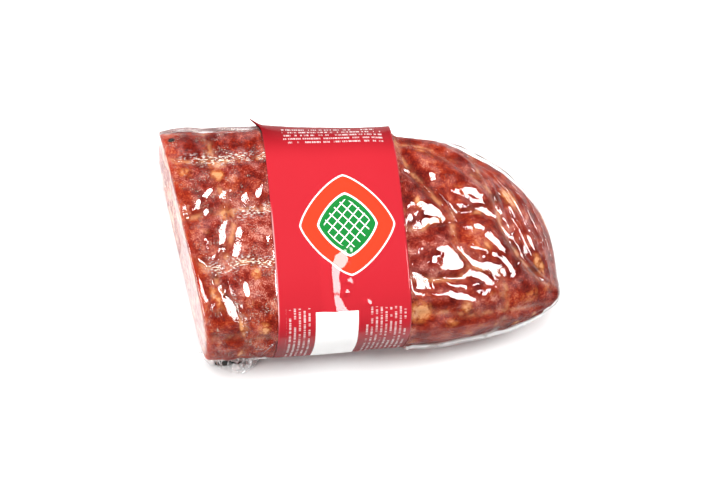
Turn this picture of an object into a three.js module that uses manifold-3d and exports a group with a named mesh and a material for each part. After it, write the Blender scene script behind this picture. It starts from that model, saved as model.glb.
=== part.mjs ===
// Half of a pressed salami in its clear sealed bag, with a printed band wrapped round the middle.
// Millimetres, +Z up. +X runs from the flat cut face to the rounded end, +Y to the far long side.
// It lies on its flat underside, and the origin is under the middle of its bounding box.

import * as THREE from 'three';
import Module from 'manifold-3d';
import { mergeVertices } from 'three/addons/utils/BufferGeometryUtils.js';

// Lengths along the salami
const CUT_X = -95;
const BAND_LEFT = -50.5;
const BAND_RIGHT = 18.7;
const SHOULDER_X = 5;
const TIP_X = 105.7;

// Half widths at the cut and at the shoulder, the bulge between them, and how far the tip lies off the middle
const CUT_HALF_WIDTH = 59.5;
const BULGE = 6.4;
const SHOULDER_HALF_WIDTH = 59.3;
const TIP_Y = -28.5;

// Heights: the widest level, the rise above it, and how far it falls over the rounded end
const WAIST_Z = 27;
const CROWN_RISE = 31;
const WAIST_FALL = 3;
const PRESSED_FLAT = 1.12;

// The far long side curves in early, the near one stays straight almost to the tip
const FAR_CURVE = { along: 1.464, across: 0.342 };
const NEAR_CURVE = { along: 1.891, across: 0.28 };
const CROWN_CURVE = 2.4;
const UNDERSIDE_CURVE = 3;
const SQUARENESS = 3;

// The cut is oblique: this much further along for each millimetre across and up
const CUT_SLANT_Y = -0.153;
const CUT_SLANT_Z = -0.03;
const CUT_RIM = 1.6;

// Relief left by the net in which the salami hung and was pressed: narrow furrows, and pillows that swell
// between them
const NET_DEPTH = 1.7;
const NET_WIDTH = 3.6;
const PILLOW_DEPTH = 1.6;
const PILLOW_WIDTH = 9.5;
const SWELL = 0.8;
const LUMP_HEIGHT = 0.5;
const CUT_FADE = 8;
const TIP_FADE = 14;
const PRESSED_SHARE = 0.27;
const PRESSED_FADE = 0.08;
const PRESSED_RELIEF = 0.35;

// The printed band, and the room that the bag leaves for it
const BAND_THICKNESS = 0.6;
const BAND_GAP = 0.3;
const BAND_NEST = BAND_GAP + BAND_THICKNESS;
const BAND_MARGIN = 1;
const NEST_SLOPE = 2.4;
const FLARE_HEIGHT = 3.4;
const FLARE_REACH = 9;
const RIGHT_FLARE = 0.7;
const FLARE_SHARE = 0.205;
const FLARE_SPREAD = 0.028;
const TAB_REACH = 4.6;
const TAB_WIDTH = 12;

// Folded film that stands out from the bag, with outlines as [x, y]: the crumpled end of the bag, low down
// beside the near corner of the cut, and the ear of the end seam at its far corner
const FILM = 1.1;
const TAIL = {
  outline: [[-91, -52], [-85, -59], [-80, -60.5], [-75, -63], [-67, -67], [-62.5, -64], [-58, -54]],
  root: [[-80, -42], [-60, -44]],
  level: 2.6,
  wave: 1.5,
  waves: 2.5,
};
const EAR = {
  outline: [[-86, 60], [-95, 64.5], [-104, 66.5], [-110, 62], [-110, 54], [-107, 45], [-101, 36]],
  root: [[-88, 54], [-96, 38]],
  level: 30,
  wave: 1.2,
  waves: 1.5,
};

// Counts of faces, and of the samples that measure a girth
const AROUND = 60;
const BAND_ALONG = 8;
const GIRTH_SAMPLES = 360;
const RINGS_BEFORE_BAND = 11;
const RINGS_UNDER_BAND = 13;
const RINGS_PAST_BAND = 25;
const TIP_CROWDING = 0.65;
const LAST_RING = 0.25;

// Strands of the net, each a smooth curve through [x, share of the girth]. Share 0 is the crown, positive
// shares go down the far side, negative shares down the near side, and both reach a half under the middle.
const STRANDS_ALONG = [
  [[-100, 0.128], [-73, 0.122], [-50, 0.126], [20, 0.158], [36, 0.161], [57, 0.128], [67, 0.104], [71, 0.062],
    [72.5, 0.03], [78.5, -0.027], [88, -0.077], [101, -0.12]],
  [[-100, 0.012], [-73, 0.028], [-50, 0.028], [19, -0.013], [32, 0], [48, 0.027], [71, 0.05]],
  [[-100, -0.04], [-87, -0.069], [-79, -0.073], [-70, -0.061], [-50, -0.066], [19, -0.102], [44, -0.102],
    [52, -0.075]],
  [[-100, -0.196], [-71, -0.189], [-53, -0.198], [34, -0.167], [48, -0.176], [66, -0.176], [95, -0.19]],
  [[-100, 0.225], [20, 0.24], [70, 0.2], [100, 0.2]],
  [[-100, 0.325], [20, 0.34], [100, 0.32]],
  [[-100, 0.42], [20, 0.43], [100, 0.42]],
  [[-100, -0.295], [20, -0.27], [100, -0.28]],
  [[-100, -0.39], [20, -0.37], [100, -0.38]],
  [[-100, -0.48], [20, -0.47], [100, -0.48]],
];
const STRANDS_ROUND = [
  [[-74, 0.5], [-76, 0.3], [-74.5, 0.12], [-74, 0.07], [-69, 0.013], [-76, -0.05], [-84, -0.096], [-74, -0.146],
    [-69, -0.19], [-72, -0.3], [-74, -0.5]],
  [[-41, 0.5], [-39, 0.1], [-42, -0.15], [-41, -0.5]],
  [[-8, 0.5], [-6, 0.15], [-9, -0.1], [-8, -0.5]],
  [[40, 0.5], [24, 0.3], [19, 0.18], [23, 0.116], [31.5, 0.072], [44, 0.02], [46, -0.038], [56, -0.079],
    [69, -0.088], [72, -0.17], [66, -0.3], [40, -0.5]],
  [[84, 0.5], [70, 0.33], [62, 0.22], [64.5, 0.12]],
];

const clamp01 = (v) => Math.min(1, Math.max(0, v));
const mix = (a, b, t) => a + (b - a) * t;
const smooth = (v) => clamp01(v) ** 2 * (3 - 2 * clamp01(v));
const bump = (distance, width) => Math.exp(-((distance / width) ** 2));
const power = (v, exponent) => Math.sign(v) * Math.abs(v) ** exponent;

function smoothCurve(knots, steps) {
  return new THREE.SplineCurve(knots.map(([a, b]) => new THREE.Vector2(a, b))).getPoints(steps);
}

const NET = [...STRANDS_ALONG, ...STRANDS_ROUND].map((knots) => smoothCurve(knots, 5 * (knots.length - 1)));

// Half widths on both sides, and the height, of the smooth salami at a place along it
function profile(x) {
  const t = clamp01((x - SHOULDER_X) / (TIP_X - SHOULDER_X));
  const k = clamp01((x - CUT_X) / (SHOULDER_X - CUT_X));
  const half = mix(CUT_HALF_WIDTH, SHOULDER_HALF_WIDTH, k) + BULGE * k * (1 - k);
  const far = TIP_Y + (half - TIP_Y) * (1 - t ** FAR_CURVE.along) ** FAR_CURVE.across;
  const near = TIP_Y - (half + TIP_Y) * (1 - t ** NEAR_CURVE.along) ** NEAR_CURVE.across;
  const waist = WAIST_Z - WAIST_FALL * t;
  return {
    middle: (far + near) / 2,
    half: (far - near) / 2,
    waist,
    rise: CROWN_RISE * Math.sqrt(1 - t ** CROWN_CURVE),
    drop: PRESSED_FLAT * waist * Math.sqrt(1 - t ** UNDERSIDE_CURVE),
  };
}

// One section of the smooth salami, measured along its girth from the crown to the far side and round
class Section {
  constructor(x, floor = 0) {
    const p = profile(x);
    this.floor = floor;
    this.points = [];
    this.lengths = [0];
    for (let i = 0; i <= GIRTH_SAMPLES; i++) {
      const angle = Math.PI / 2 - (2 * Math.PI * i) / GIRTH_SAMPLES;
      const side = power(Math.cos(angle), 2 / SQUARENESS);
      const up = power(Math.sin(angle), 2 / SQUARENESS);
      this.points.push([p.middle + p.half * side, p.waist + (up > 0 ? p.rise : p.drop) * up]);
    }
    for (let i = 1; i <= GIRTH_SAMPLES; i++) {
      const [a, b] = [this.points[i - 1], this.points[i]];
      this.lengths.push(this.lengths[i - 1] + Math.hypot(b[0] - a[0], Math.max(b[1], 0) - Math.max(a[1], 0)));
    }
    this.girth = this.lengths[GIRTH_SAMPLES];
  }

  // The point at a share of the girth, moved out along the normal, and pressed flat on the floor
  at(share, out) {
    const wanted = ((share % 1) + 1) % 1 * this.girth;
    let i = 1;
    while (i < this.lengths.length - 1 && this.lengths[i] < wanted) i++;
    const [a, b] = [this.points[i - 1], this.points[i]];
    const t = (wanted - this.lengths[i - 1]) / Math.max(this.lengths[i] - this.lengths[i - 1], 1e-9);
    const step = Math.hypot(b[0] - a[0], b[1] - a[1]) || 1;
    const normal = [-(b[1] - a[1]) / step, (b[0] - a[0]) / step];
    return [mix(a[0], b[0], t) + out * normal[0], Math.max(mix(a[1], b[1], t) + out * normal[1], this.floor)];
  }
}

// How deep the net has pressed in at a place, from 0 to the full depth
function netRelief(x, share, girth) {
  let open = 1;
  let pillow = 1;
  for (const strand of NET) {
    let nearest = Infinity;
    for (let i = 1; i < strand.length; i++) {
      const [a, b] = [strand[i - 1], strand[i]];
      const run = [b.x - a.x, (b.y - a.y) * girth];
      const gone = [x - a.x, (share - a.y) * girth];
      const t = clamp01((gone[0] * run[0] + gone[1] * run[1]) / (run[0] ** 2 + run[1] ** 2));
      nearest = Math.min(nearest, Math.hypot(gone[0] - t * run[0], gone[1] - t * run[1]));
    }
    open *= 1 - bump(nearest, NET_WIDTH);
    pillow *= 1 - bump(nearest, PILLOW_WIDTH);
  }
  return NET_DEPTH * (1 - open) + PILLOW_DEPTH * (1 - pillow);
}

// A slow unevenness, as a depth below the smooth skin
function unevenness(x, share) {
  const turn = 2 * Math.PI * share;
  const longWave = Math.sin(x / 11 + 3 * turn);
  const shortWave = Math.sin(x / 7 - 5 * turn + 1);
  return LUMP_HEIGHT * (2 - longWave - shortWave) / 2;
}

// The cut face is a slanted plane, and the slant fades away up to the band
function slant(x, y, z) {
  const fade = smooth(1 - (x - CUT_X) / (BAND_LEFT - CUT_X));
  return x + fade * (CUT_SLANT_Y * y + CUT_SLANT_Z * (z - WAIST_Z));
}

// The nest under the band, from 1 below it to 0 a short slope past each of its edges
function nest(x) {
  const past = Math.max(BAND_LEFT - BAND_MARGIN - x, x - BAND_RIGHT - BAND_MARGIN, 0);
  return 1 - smooth(past / NEST_SLOPE);
}

// Steps round the girth, as shares from the crown
function sharesRound() {
  return Array.from({ length: AROUND }, (_, i) => (i <= AROUND / 2 ? i : i - AROUND) / AROUND);
}

function spread(from, to, count, ease = (t) => t) {
  return Array.from({ length: count }, (_, i) => mix(from, to, ease(i / (count - 1))));
}

function bagStations() {
  const before = spread(CUT_X + CUT_RIM, BAND_LEFT - BAND_MARGIN - NEST_SLOPE, RINGS_BEFORE_BAND);
  const under = spread(BAND_LEFT - BAND_MARGIN, BAND_RIGHT + BAND_MARGIN, RINGS_UNDER_BAND);
  const past = spread(BAND_RIGHT + BAND_MARGIN + NEST_SLOPE, TIP_X - LAST_RING, RINGS_PAST_BAND,
    (t) => mix(t, Math.sin((t * Math.PI) / 2), TIP_CROWDING));
  return [...before, ...under, ...past];
}

// One ring of the bag's skin, with the relief fading at the cut, at the tip and underneath
function bagRing(x, inset = 0) {
  const nested = nest(x);
  const section = new Section(x, BAND_NEST * nested);
  const ends = Math.min(1, (x - CUT_X) / CUT_FADE, (TIP_X - x) / TIP_FADE);
  return sharesRound().map((share) => {
    const under = mix(1, PRESSED_RELIEF, smooth((Math.abs(share) - PRESSED_SHARE) / PRESSED_FADE));
    const relief = under * ends * (netRelief(x, share, section.girth) + unevenness(x, share));
    const [y, z] = section.at(share, mix(SWELL * ends, -BAND_NEST, nested) - inset - relief);
    return new THREE.Vector3(slant(x - inset, y, z), y, z);
  });
}

// A closed skin over rings of points, shut by a fan at each end
function skinOver(rings) {
  const positions = [];
  const index = [];
  const count = rings[0].length;
  for (const point of rings.flat()) positions.push(...point.toArray());
  const middleOf = (ring) => ring.reduce((sum, p) => sum.add(p), new THREE.Vector3()).divideScalar(ring.length);
  for (const ring of [rings[0], rings[rings.length - 1]]) positions.push(...middleOf(ring).toArray());
  const first = rings.length * count;
  const last = first + 1;
  const final = (rings.length - 1) * count;
  for (let i = 0; i < count; i++) {
    const j = (i + 1) % count;
    for (let r = 0; r < rings.length - 1; r++) {
      const [a, b, c, d] = [r * count + i, r * count + j, (r + 1) * count + j, (r + 1) * count + i];
      index.push(a, d, b, b, d, c);
    }
    index.push(first, i, j, last, final + j, final + i);
  }
  return closedGeometry(positions, index);
}

// A closed tube whose rings join up again, for the band
function skinRound(loops) {
  const count = loops[0].length;
  const positions = loops.flat().flatMap((point) => point.toArray());
  const index = [];
  for (let r = 0; r < loops.length; r++) {
    const next = (r + 1) % loops.length;
    for (let i = 0; i < count; i++) {
      const j = (i + 1) % count;
      const [a, b, c, d] = [r * count + i, r * count + j, next * count + j, next * count + i];
      index.push(a, d, b, b, d, c);
    }
  }
  return closedGeometry(positions, index);
}

function closedGeometry(positions, index) {
  const geometry = new THREE.BufferGeometry();
  geometry.setAttribute('position', new THREE.Float32BufferAttribute(positions, 3));
  geometry.setIndex(index);
  return geometry;
}

// A fold of film: a wavy plate from a straight root inside the bag out to a smooth outline
function filmFold({ outline, root, level, wave, waves }) {
  const steps = 4 * (outline.length - 1);
  const edge = smoothCurve(outline, steps);
  const [start, end] = root.map(([x, y]) => new THREE.Vector3(x, y, level));
  const half = new THREE.Vector3(0, 0, FILM / 2);
  return skinOver(edge.map((point, i) => {
    const t = i / steps;
    const inner = start.clone().lerp(end, t);
    const lift = wave * Math.cos(2 * Math.PI * waves * t) * Math.sin(Math.PI * t);
    const outer = new THREE.Vector3(point.x, point.y, level + lift);
    return [inner.clone().sub(half), outer.clone().sub(half), outer.clone().add(half), inner.clone().add(half)];
  }));
}

const wasm = await Module();
wasm.setup();

function toSolid(geometry) {
  const bare = mergeVertices(geometry, 1e-4);
  return new wasm.Manifold(new wasm.Mesh({
    numProp: 3,
    vertProperties: new Float32Array(bare.attributes.position.array),
    triVerts: new Uint32Array(bare.index.array),
  }));
}

function fromSolid(solid) {
  const mesh = solid.getMesh();
  return closedGeometry(Array.from(mesh.vertProperties), Array.from(mesh.triVerts));
}

function sealedSalami() {
  const rings = [bagRing(CUT_X + CUT_RIM, CUT_RIM), ...bagStations().map((x) => bagRing(x))];
  const folds = [TAIL, EAR].map((fold) => toSolid(filmFold(fold)));
  return fromSolid(folds.reduce((bag, fold) => bag.add(fold), toSolid(skinOver(rings))));
}

// How far the loose edge of the band stands off the far side, and how far its corner sticks out as a tab
function flare(x, share) {
  const place = bump(share - FLARE_SHARE, FLARE_SPREAD);
  const left = Math.exp(-(x - BAND_LEFT) / FLARE_REACH);
  const right = RIGHT_FLARE * Math.exp(-(BAND_RIGHT - x) / FLARE_REACH);
  const corner = smooth(1 - (x - BAND_LEFT) / TAB_WIDTH);
  return { off: FLARE_HEIGHT * place * (left + right), tab: TAB_REACH * place ** 2 * corner };
}

function labelBand() {
  const stations = spread(BAND_LEFT, BAND_RIGHT, BAND_ALONG + 1);
  const loop = (x, depth) => {
    const section = new Section(x, depth);
    return sharesRound().map((share) => {
      const { off, tab } = flare(x, share);
      const [y, z] = section.at(share, off - depth);
      return new THREE.Vector3(x - tab, y, z);
    });
  };
  const outer = stations.map((x) => loop(x, 0));
  const inner = stations.map((x) => loop(x, BAND_THICKNESS)).reverse();
  return skinRound([...outer, ...inner]);
}

const MATERIALS = {
  sealed_salami: new THREE.MeshStandardMaterial({ color: 0xa84c40, roughness: 0.2, metalness: 0 }),
  label_band: new THREE.MeshStandardMaterial({ color: 0xd8283a, roughness: 0.3, metalness: 0 }),
};

const salami = new THREE.Group();
for (const [name, geometry] of Object.entries({ sealed_salami: sealedSalami(), label_band: labelBand() })) {
  geometry.computeVertexNormals();
  const mesh = new THREE.Mesh(geometry, MATERIALS[name]);
  mesh.name = name;
  salami.add(mesh);
}

// The origin goes under the middle of the whole
const box = new THREE.Box3().setFromObject(salami);
const middle = box.getCenter(new THREE.Vector3());
salami.position.set(-middle.x, -middle.y, -box.min.z);
salami.updateMatrixWorld(true);

export default salami;
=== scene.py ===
# Half of a pressed salami, shrink-wrapped in clear film, with a printed band round it.
# Lengths are in millimetres until they go into a mesh, and metres there. +X runs from the cut face to the rounded
# end, +Y to the far long side and +Z up.

import math
import bpy
import numpy as np
from mathutils import Matrix, Vector


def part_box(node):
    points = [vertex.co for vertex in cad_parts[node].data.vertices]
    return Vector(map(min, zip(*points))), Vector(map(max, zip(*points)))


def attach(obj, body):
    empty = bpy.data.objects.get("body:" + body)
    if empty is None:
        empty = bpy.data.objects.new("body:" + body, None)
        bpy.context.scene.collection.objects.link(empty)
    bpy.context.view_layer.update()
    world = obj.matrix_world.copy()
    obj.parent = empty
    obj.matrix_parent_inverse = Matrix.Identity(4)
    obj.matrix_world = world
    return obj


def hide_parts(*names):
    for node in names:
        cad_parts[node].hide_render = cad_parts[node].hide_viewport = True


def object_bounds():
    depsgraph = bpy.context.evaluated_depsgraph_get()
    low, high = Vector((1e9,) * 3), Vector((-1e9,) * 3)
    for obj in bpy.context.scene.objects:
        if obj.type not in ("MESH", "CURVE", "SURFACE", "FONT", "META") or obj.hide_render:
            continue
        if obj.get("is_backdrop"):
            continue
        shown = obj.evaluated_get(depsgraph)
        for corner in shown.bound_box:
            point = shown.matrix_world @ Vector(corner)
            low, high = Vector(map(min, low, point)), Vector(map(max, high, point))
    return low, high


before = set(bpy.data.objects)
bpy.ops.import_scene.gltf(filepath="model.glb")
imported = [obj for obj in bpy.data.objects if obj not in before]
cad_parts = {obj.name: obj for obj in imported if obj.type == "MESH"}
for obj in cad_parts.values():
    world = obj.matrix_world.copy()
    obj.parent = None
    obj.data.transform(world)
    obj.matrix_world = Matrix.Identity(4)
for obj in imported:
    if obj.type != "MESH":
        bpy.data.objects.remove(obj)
cad_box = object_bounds()
MM = 0.001

# The smooth form of the salami, as in the part's source
CUT_X = -95
BAND_LEFT = -50.5
BAND_RIGHT = 18.7
SHOULDER_X = 5
TIP_X = 105.7
CUT_HALF_WIDTH = 59.5
BULGE = 6.4
SHOULDER_HALF_WIDTH = 59.3
TIP_Y = -28.5
WAIST_Z = 27
CROWN_RISE = 31
WAIST_FALL = 3
PRESSED_FLAT = 1.12
FAR_CURVE = (1.464, 0.342)
NEAR_CURVE = (1.891, 0.28)
CROWN_CURVE = 2.4
UNDERSIDE_CURVE = 3
SQUARENESS = 3
CUT_SLANT_Y = -0.153
CUT_SLANT_Z = -0.03
CUT_RIM = 1.6

# The relief that the net pressed in, and the nest under the band
NET_DEPTH = 1.7
NET_WIDTH = 3.6
PILLOW_DEPTH = 1.6
PILLOW_WIDTH = 9.5
SWELL = 0.8
LUMP_HEIGHT = 0.5
CUT_FADE = 8
TIP_FADE = 14
PRESSED_SHARE = 0.27
PRESSED_FADE = 0.08
PRESSED_RELIEF = 0.35
BAND_THICKNESS = 0.6
BAND_NEST = 0.55
BAND_MARGIN = -0.6
NEST_SLOPE = 1.6
BAND_HUG = 5.0
FLARE_HEIGHT = 3.4
FLARE_REACH = 9
RIGHT_FLARE = 0.7
FLARE_SHARE = 0.205
FLARE_SPREAD = 0.028
TAB_REACH = 5.4
TAB_WIDTH = 12
TAB_CURL = 2.2

# Strands of the net as [x, share of the girth]: share 0 is the crown, positive shares go down the far side
STRANDS_ALONG = [
    [(-100, 0.128), (-73, 0.122), (-50, 0.126), (20, 0.158), (36, 0.161), (57, 0.128), (67, 0.104), (71, 0.062),
     (72.5, 0.03), (78.5, -0.027), (88, -0.077), (101, -0.12)],
    [(-100, 0.012), (-73, 0.028), (-50, 0.028), (19, -0.013), (32, 0), (48, 0.027), (71, 0.05)],
    [(-100, -0.04), (-87, -0.069), (-79, -0.073), (-70, -0.061), (-50, -0.066), (19, -0.102), (44, -0.102),
     (52, -0.075)],
    [(-100, -0.196), (-71, -0.189), (-53, -0.198), (34, -0.167), (48, -0.176), (66, -0.176), (95, -0.19)],
    [(-100, 0.225), (20, 0.24), (70, 0.2), (100, 0.2)],
    [(-100, 0.325), (20, 0.34), (100, 0.32)],
    [(-100, 0.42), (20, 0.43), (100, 0.42)],
    [(-100, -0.295), (20, -0.27), (100, -0.28)],
    [(-100, -0.39), (20, -0.37), (100, -0.38)],
    [(-100, -0.48), (20, -0.47), (100, -0.48)],
]
STRANDS_ROUND = [
    [(-74, 0.5), (-76, 0.3), (-74.5, 0.12), (-74, 0.07), (-69, 0.013), (-76, -0.05), (-84, -0.096), (-74, -0.146),
     (-69, -0.19), (-72, -0.3), (-74, -0.5)],
    [(-41, 0.5), (-39, 0.1), (-42, -0.15), (-41, -0.5)],
    [(-8, 0.5), (-6, 0.15), (-9, -0.1), (-8, -0.5)],
    [(40, 0.5), (24, 0.3), (19, 0.18), (23, 0.116), (31.5, 0.072), (44, 0.02), (46, -0.038), (56, -0.079),
     (69, -0.088), (72, -0.17), (66, -0.3), (40, -0.5)],
    [(84, 0.5), (70, 0.33), (62, 0.22), (64.5, 0.12)],
]

# Pleats of the film as [x, share], with the height of the crest: sharp lines where the film is gathered
PLEATS = [
    (0.25, [(93, 0.07), (94.5, 0.035), (96, 0.0), (98, -0.05), (99, -0.1)]),
    (0.5, [(39.4, 0.172), (49, 0.153), (59, 0.14), (66.7, 0.125), (74.3, 0.11), (80, 0.07), (83, 0.03)]),
    (0.5, [(28.9, 0.182), (44.7, 0.175), (57.6, 0.161), (70, 0.14), (80, 0.115), (87, 0.06), (92, 0.01)]),
    (0.5, [(30, 0.205), (50, 0.2), (66, 0.185), (80, 0.15), (90, 0.1), (97, 0.03)]),
    (0.4, [(34, 0.225), (56, 0.22), (74, 0.2), (88, 0.16), (97, 0.09), (101, 0.0)]),
    (0.5, [(47, 0.01), (44.8, 0.034), (42.4, 0.048), (38, 0.066)]),
    (0.4, [(-94, 0.197), (-82, 0.203), (-66, 0.199), (-52, 0.205)]),
    (0.4, [(-94, 0.178), (-78, 0.184), (-64, 0.176), (-52, 0.18)]),
    (0.5, [(-78.3, -0.222), (-63.9, -0.245), (-59.1, -0.229), (-52.9, -0.207)]),
    (0.4, [(-94, -0.2), (-84, -0.215), (-74, -0.21), (-62, -0.2)]),
    (0.4, [(-89, -0.045), (-84, -0.06), (-80, -0.075), (-76, -0.105), (-73, -0.15), (-70, -0.19)]),
    (0.4, [(-86, -0.05), (-80, -0.066), (-70, -0.06), (-60, -0.062), (-52, -0.056)]),
    (0.4, [(-93, 0.124), (-80, 0.122), (-66, 0.126), (-52, 0.131)]),
    (2.0, [(20, -0.266), (40, -0.268), (60, -0.267), (80, -0.264), (95, -0.25)]),
]

# Rounder folds, with one flank that shines: height, half width, [x, share]
FOLDS = [
    (0.5, 1.5, [(76.5, 0.1), (78.4, 0.06), (82.6, 0.021), (86.8, -0.019), (89.7, -0.054), (91, -0.075)]),
    (0.55, 1.6, [(86, 0.11), (87.1, 0.08), (88.4, 0.039), (89.4, 0.001), (92.5, -0.02)]),
]

# Stretched edges of the film, where white haze is painted as highlights for the light they catch: strength, half width,
# [x, share]
HEM_HIGHLIGHTS = [
    (1.0, 0.75, [(20, -0.263), (40, -0.265), (60, -0.264), (80, -0.261), (95, -0.247)]),
    (1.0, 0.8, [(-72, -0.278), (-63.4, -0.268), (-57.7, -0.26), (-52, -0.28)]),
    (0.8, 0.25, [(-68, -0.268), (-63.9, -0.257), (-52.9, -0.207)]),
    (0.12, 0.6, [(60, 0.15), (66, 0.118), (69.5, 0.075), (71, 0.035), (77, -0.022), (87, -0.075), (97, -0.115)]),
    (0.1, 0.5, [(64, 0.15), (70, 0.118), (73.5, 0.08), (75.5, 0.04), (81, -0.02), (90, -0.065), (98, -0.1)]),
    (0.1, 0.7, [(34, 0.19), (49, 0.168), (60, 0.15), (69, 0.13), (78, 0.1), (86, 0.05), (92, 0.0)]),
]

# Where the net squeezed the film into fine crinkles, which get painted glints of white haze: strength, [x, share]
CRINKLE_GLINTS = [
    (0.6, [(-86, 0.127), (-78, 0.124)]),
    (1.0, [(-76, 0.123), (-70, 0.122), (-50, 0.127)]),
    (0.7, [(-66, 0.02), (-50, 0.028)]),
    (0.9, [(-84, -0.07), (-76, -0.071), (-70, -0.061), (-50, -0.066)]),
    (0.4, [(-76, -0.12), (-72, -0.16), (-69, -0.19)]),
]

# Places where the film lies flat and shines: x, share, length, width, turn in degrees
FACETS = [
    (-79.5, 0.059, 14, 10, 40), (-85.5, 0.038, 10, 5, 45), (-82, 0.027, 8, 5, 40), (-72.3, 0.057, 9, 7, 80),
    (-62.3, 0.05, 11, 10, 80), (-55.8, 0.055, 12, 8, 95), (-73.5, 0.002, 12, 9, 10), (-67.2, -0.012, 13, 10, -70),
    (-70, -0.04, 13, 12, -90), (-79, -0.074, 4, 2.6, 0), (-77, -0.134, 11, 7, -40), (-67.6, -0.112, 12, 9, 60),
    (-67, -0.156, 5.5, 3, 0), (-53.4, -0.025, 5, 4, 90),
    (23, 0.095, 8, 5, -30), (37, 0.092, 11, 5, -50), (36, 0.026, 14, 7, -40), (29.5, 0.031, 9, 6, -50),
    (34, 0.002, 18, 4, 8), (58.5, 0.077, 13, 9, -20), (66, 0.042, 14, 5, -4), (72, 0.054, 8, 2.6, -70),
    (68.5, -0.022, 14, 8, -40), (62.5, -0.086, 18, 14, -35), (42, -0.064, 20, 15, -45), (43, -0.07, 12, 9, -30), (59, -0.1, 18, 8, -20),
    (24.6, -0.103, 15, 7, -25), (47.5, -0.14, 19, 8, -15), (42, -0.192, 9, 4.5, 0), (79.6, -0.061, 7, 3, 30),
]
# Shining crests of its pleats
CRESTS = [
    (46.5, -0.045, 10, 3.2, -55), (52, -0.063, 10, 3.2, -40), (58, -0.073, 9, 3.4, -20), (79.8, 0.068, 12, 3, -76),
]
# Places where it turns away from the light
DULL_FACETS = [
    (-90, 0.027, 7, 5, 0), (-81.5, -0.035, 9, 9, 70), (-78.3, -0.058, 6, 6, 0), (-88.5, -0.105, 26, 13, -52),
    (-86, 0.017, 18, 5, 5), (-92, -0.075, 26, 6, -60), (22.7, 0.017, 6, 10, 90), (50, 0.052, 15, 9, -20),
    (57, -0.024, 18, 15, -40), (29.5, -0.062, 16, 10, 0), (34, -0.117, 26, 6, 0), (57, -0.118, 12, 7, 0),
    (75.5, 0.02, 10, 6, -70), (79.5, -0.02, 9, 6, -65),
]
# Places where the film stands off the meat, and where both stand out or sink: x, share, length, width, height
LOOSE_FILM = [(-76, 0.23, 60, 34, 1.8), (70, 0.21, 60, 40, 1.7), (99, -0.11, 14, 30, 1.6), (60, -0.275, 60, 24, 0.9)]
LEANS = [(29, 0.235, 26, 34, -1.5), (72, 0.21, 54, 40, 1.5), (-76, 0.23, 60, 34, 1.1),
         (-80, -0.265, 50, 60, 2.4), (34, -0.27, 40, 56, 1.8), (91, -0.25, 40, 60, -1.9)]
LABEL_FACETS = [
    (-12.6, -0.055, 9, 7, 30), (-17, -0.067, 14, 11, 40), (-13.3, -0.102, 7, 4, -30),
    (-15, -0.122, 3.5, 3.5, 0), (-4, -0.14, 6, 4, -60),
]
# The crest of the band's long shining dent as [x, share]: its right flank mirrors the key light at the camera
LABEL_CREST = [(-21.8, -0.06), (-22.4, -0.075), (-22.2, -0.1), (-21.9, -0.128), (-21.3, -0.151), (-21, -0.158)]
CREST_HEIGHT = 0.9
CREST_EASE = 0.085      # how much flatter than a perfect mirror it may run down the band
CREST_BACK = 6.5        # width of its left flank

# Lumps of fat under the skin: x, share, length, width, turn in degrees, paleness
FAT_LUMPS = [
    (-73, 0.115, 6, 9, 80, 0.8),
    (-87.8, 0.099, 9, 7, 20, 0.6), (-73.5, 0.094, 6, 7, 10, 0.95), (-73.5, 0.024, 6, 9, 0, 0.7),
    (-61, -0.081, 6, 9, 0, 0.75), (-85, -0.122, 6, 14, 25, 0.85), (-58.2, -0.178, 7, 8, 0, 1.0),
    (-84.5, -0.007, 6, 5, 0, 0.4), (-72.5, -0.175, 3.5, 15, 10, 0.9), (-66, -0.062, 5, 5, 0, 0.6), (-67.7, 0.083, 8, 5, 20, 0.4), (-66, -0.13, 6, 7, 0, 0.45),
    (33.2, 0.149, 8, 5, -20, 0.6), (27.4, 0.037, 6, 9, 20, 0.75), (61.9, 0.108, 7, 5, -30, 0.45),
    (79.1, 0.1, 9, 11, 30, 1.0), (62.4, -0.033, 7, 7, 0, 0.65), (92.5, -0.05, 6, 12, 20, 1.0),
    (24, -0.164, 13, 12, 0, 1.0), (49, -0.158, 7, 9, 0, 0.75), (40.8, -0.188, 9, 6, 0, 0.6),
    (45.6, 0.024, 3, 9, 10, 0.6), (70, -0.135, 8, 6, -20, 0.5), (86, -0.145, 15, 9, 30, 0.5),
    (97, -0.12, 7, 7, 0, 0.5), (50, 0.08, 7, 5, 0, 0.35), (56, 0.0, 6, 5, 0, 0.4),
]
DULL_SLOPE = 0.28
HIDDEN_LUMPS = 130
DARK_SPOT = (-90.2, 0.169)
NUB = (103, -0.17)      # the pinched end of the casing
NUB_HEIGHT = 3.2

# Zones of the meat: x, share, radius, how much paler, how much warmer
TONES = [
    (-79, 0.085, 13, 0.03, -0.4), (-63, -0.01, 15, 0.21, -0.5), (-87, -0.01, 11, -0.1, 0.0),
    (-61, -0.11, 14, 0.2, -0.1), (-78, -0.17, 13, -0.04, 0.8), (-84, -0.2, 10, -0.12, 0.8), (-80, 0.16, 14, -0.38, 0.5),
    (-60, 0.165, 12, -0.2, 0.3), (28, 0.17, 12, -0.13, 0.3), (75, 0.13, 14, -0.12, 0.2), (66, -0.16, 12, 0.15, 0.0),
    (55, -0.02, 10, 0.1, 0.9), (28, -0.03, 12, 0.1, -0.5), (46, 0.09, 11, 0.0, 0.5), (25, 0.06, 8, -0.1, 0.0),
    (40, 0.15, 14, 0.0, 0.5), (89, -0.1, 14, -0.22, 0.2), (84, -0.16, 12, 0.22, 0.2), (40, -0.19, 16, -0.05, 0.7),
    (70, -0.04, 10, -0.08, 0.0), (65, -0.13, 12, -0.05, 0.2),
]

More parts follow.
